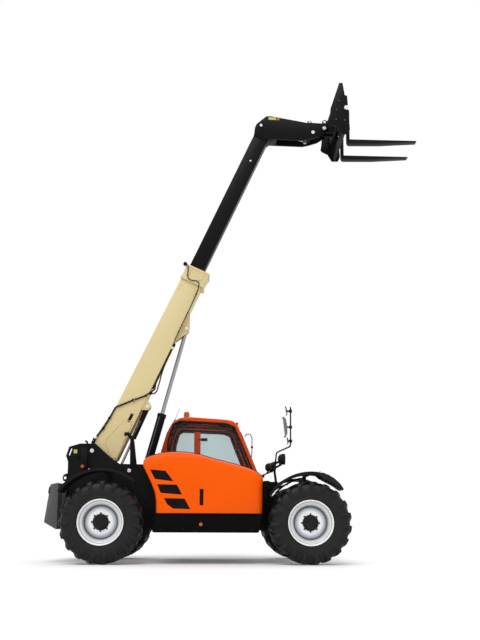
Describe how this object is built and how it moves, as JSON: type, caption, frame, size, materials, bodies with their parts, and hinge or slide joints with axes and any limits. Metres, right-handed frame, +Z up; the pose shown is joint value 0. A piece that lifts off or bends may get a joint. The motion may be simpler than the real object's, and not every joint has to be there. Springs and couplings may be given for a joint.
{
  "type": "telehandler",
  "caption": "Telescopic handler with a two-section boom raised over its cab, a fork carriage on a gooseneck head, side engine hood and four steered wheels.",
  "frame": {"origin": "middle of the whole machine's bounding box in plan, at the ground under the tyres", "axes": "+Z up, +X towards the front where the forks point, +Y to the machine's left"},
  "size_m": [5.818, 2.24, 7.77],
  "materials": {
    "frame_black": "satin black paint",
    "cast_weight": "dark grey paint",
    "cast_axle": "black paint",
    "boom_cream": "cream paint",
    "boom_black": "black paint",
    "fork_steel": "worn black paint",
    "chrome_rod": "ground chrome",
    "hood_orange": "orange moulding",
    "cab_orange": "dark orange paint",
    "black_plastic": "black moulding",
    "engine_metal": "cast",
    "rim_silver": "silver paint",
    "tyre_rubber": "rubber",
    "hose_rubber": "rubber",
    "seat_fabric": "woven",
    "amber_lens": "amber lens",
    "cab_glass": "pale green tint"
  },
  "bodies": {
    "chassis": {"chassis_frame": "frame_black", "counterweight": "cast_weight", "front_axle": "cast_axle", "rear_axle": "cast_axle", "front_fenders": "black_plastic", "rear_fenders": "black_plastic", "engine_block": "engine_metal", "engine_sill": "frame_black", "cab_frame": "cab_orange", "cab_glazing": "cab_glass", "cab_seat": "seat_fabric", "cab_controls": "black_plastic", "cab_fittings": "black_plastic", "left_tank": "black_plastic", "mirror_mast": "black_plastic", "front_lamps": "black_plastic", "beacon": "amber_lens"},
    "hood": {"engine_hood": "hood_orange", "hood_grilles": "black_plastic"},
    "door": {"cab_door": "cab_orange", "cab_door_glass": "cab_glass"},
    "boom": {"boom_outer": "boom_cream", "boom_collar": "boom_cream", "boom_hoses": "hose_rubber"},
    "boom_section": {"boom_inner": "boom_black", "boom_head": "boom_black"},
    "fork_carriage": {"carriage": "boom_black", "forks": "fork_steel"},
    "lift_cylinder": {"lift_barrel": "frame_black"},
    "lift_piston": {"lift_rod": "chrome_rod"},
    "slave_cylinder": {"slave_barrel": "frame_black"},
    "slave_piston": {"slave_rod": "chrome_rod"},
    "tilt_cylinder": {"tilt_barrel": "frame_black"},
    "tilt_piston": {"tilt_rod": "chrome_rod"},
    "crank": {"bell_crank": "boom_black"},
    "link": {"tilt_link": "boom_black"},
    "knuckle_front_left": {"knuckle_front_left": "cast_axle"},
    "wheel_front_left": {"rim_front_left": "rim_silver", "tyre_front_left": "tyre_rubber"},
    "knuckle_front_right": {"knuckle_front_right": "cast_axle"},
    "wheel_front_right": {"rim_front_right": "rim_silver", "tyre_front_right": "tyre_rubber"},
    "knuckle_rear_left": {"knuckle_rear_left": "cast_axle"},
    "wheel_rear_left": {"rim_rear_left": "rim_silver", "tyre_rear_left": "tyre_rubber"},
    "knuckle_rear_right": {"knuckle_rear_right": "cast_axle"},
    "wheel_rear_right": {"rim_rear_right": "rim_silver", "tyre_rear_right": "tyre_rubber"}
  },
  "joints": [
    {"name": "boom_lift", "type": "hinge", "parent": "chassis", "child": "boom", "pos_m": [-2.282, 0, 1.692], "axis": [0, -1, 0], "range_deg": [-68, 1.5]},
    {"name": "boom_telescope", "type": "slide", "parent": "boom", "child": "boom_section", "axis": [0.4147, 0, 0.91], "range_m": [-2.1, 0.05]},
    {"name": "carriage_tilt", "type": "hinge", "parent": "boom_section", "child": "fork_carriage", "pos_m": [1.409, 0, 7.162], "axis": [0, -1, 0], "range_deg": [-45, 70]},
    {"name": "crank_swing", "type": "hinge", "parent": "boom_section", "child": "crank", "pos_m": [1.218, 0, 7.086], "axis": [0, -1, 0], "range_deg": [-28, 43]},
    {"name": "link_swing", "type": "hinge", "parent": "crank", "child": "link", "pos_m": [1.173, 0, 7.31], "axis": [0, -1, 0], "range_deg": [-36, 24]},
    {"name": "tilt_cylinder_swing", "type": "hinge", "parent": "boom_section", "child": "tilt_cylinder", "pos_m": [0.346, 0, 7.186], "axis": [0, -1, 0], "range_deg": [-4, 3]},
    {"name": "tilt_stroke", "type": "slide", "parent": "tilt_cylinder", "child": "tilt_piston", "axis": [0.966, 0, -0.2585], "range_m": [-0.068, 0.105]},
    {"name": "lift_cylinder_swing", "type": "hinge", "parent": "chassis", "child": "lift_cylinder", "pos_m": [-1.573, 0, 1], "axis": [0, -1, 0], "range_deg": [-73, 3]},
    {"name": "lift_stroke", "type": "slide", "parent": "lift_cylinder", "child": "lift_piston", "axis": [0.2576, 0, 0.9662], "range_m": [-1.12, 0.04]},
    {"name": "slave_cylinder_swing", "type": "hinge", "parent": "boom", "child": "slave_cylinder", "pos_m": [-1.448, -0.08, 2.408], "axis": [0, -1, 0], "range_deg": [-21, 2]},
    {"name": "slave_stroke", "type": "slide", "parent": "slave_cylinder", "child": "slave_piston", "axis": [-0.3935, 0, -0.9193], "range_m": [-0.44, 0.03]},
    {"name": "hood_hinge", "type": "hinge", "parent": "chassis", "child": "hood", "pos_m": [-0.503, -0.345, 1.625], "axis": [-1, 0, 0], "range_deg": [0, 60]},
    {"name": "door_hinge", "type": "hinge", "parent": "chassis", "child": "door", "pos_m": [-1.109, 1.072, 1.6], "axis": [0, 0, 1], "range_deg": [0, 90]},
    {"name": "steer_front_left", "type": "hinge", "parent": "chassis", "child": "knuckle_front_left", "pos_m": [1.002, 0.8, 0.6], "axis": [0, 0, 1], "range_deg": [-35, 35]},
    {"name": "spin_front_left", "type": "hinge", "parent": "knuckle_front_left", "child": "wheel_front_left", "pos_m": [1.002, 0.92, 0.6], "axis": [0, 1, 0], "continuous": true},
    {"name": "steer_front_right", "type": "hinge", "parent": "chassis", "child": "knuckle_front_right", "pos_m": [1.002, -0.8, 0.6], "axis": [0, 0, 1], "range_deg": [-35, 35]},
    {"name": "spin_front_right", "type": "hinge", "parent": "knuckle_front_right", "child": "wheel_front_right", "pos_m": [1.002, -0.92, 0.6], "axis": [0, 1, 0], "continuous": true},
    {"name": "steer_rear_left", "type": "hinge", "parent": "chassis", "child": "knuckle_rear_left", "pos_m": [-2.008, 0.8, 0.6], "axis": [0, 0, 1], "range_deg": [-35, 35]},
    {"name": "spin_rear_left", "type": "hinge", "parent": "knuckle_rear_left", "child": "wheel_rear_left", "pos_m": [-2.008, 0.92, 0.6], "axis": [0, 1, 0], "continuous": true},
    {"name": "steer_rear_right", "type": "hinge", "parent": "chassis", "child": "knuckle_rear_right", "pos_m": [-2.008, -0.8, 0.6], "axis": [0, 0, 1], "range_deg": [-35, 35]},
    {"name": "spin_rear_right", "type": "hinge", "parent": "knuckle_rear_right", "child": "wheel_rear_right", "pos_m": [-2.008, -0.92, 0.6], "axis": [0, 1, 0], "continuous": true}
  ],
  "couplings": [
    {"joint": "crank_swing", "follows": "carriage_tilt", "ratio": 0.602},
    {"joint": "link_swing", "follows": "carriage_tilt", "ratio": -0.495},
    {"joint": "tilt_cylinder_swing", "follows": "carriage_tilt", "ratio": -0.0405},
    {"joint": "tilt_stroke", "follows": "carriage_tilt", "m_per_rad": 0.0838},
    {"joint": "lift_cylinder_swing", "follows": "boom_lift", "ratio": 1.0447},
    {"joint": "lift_stroke", "follows": "boom_lift", "m_per_rad": 0.92856},
    {"joint": "slave_cylinder_swing", "follows": "boom_lift", "ratio": 0.29879},
    {"joint": "slave_stroke", "follows": "boom_lift", "m_per_rad": 0.36258},
    {"joint": "steer_front_right", "follows": "steer_front_left", "ratio": 1},
    {"joint": "steer_rear_right", "follows": "steer_rear_left", "ratio": 1}
  ]
}
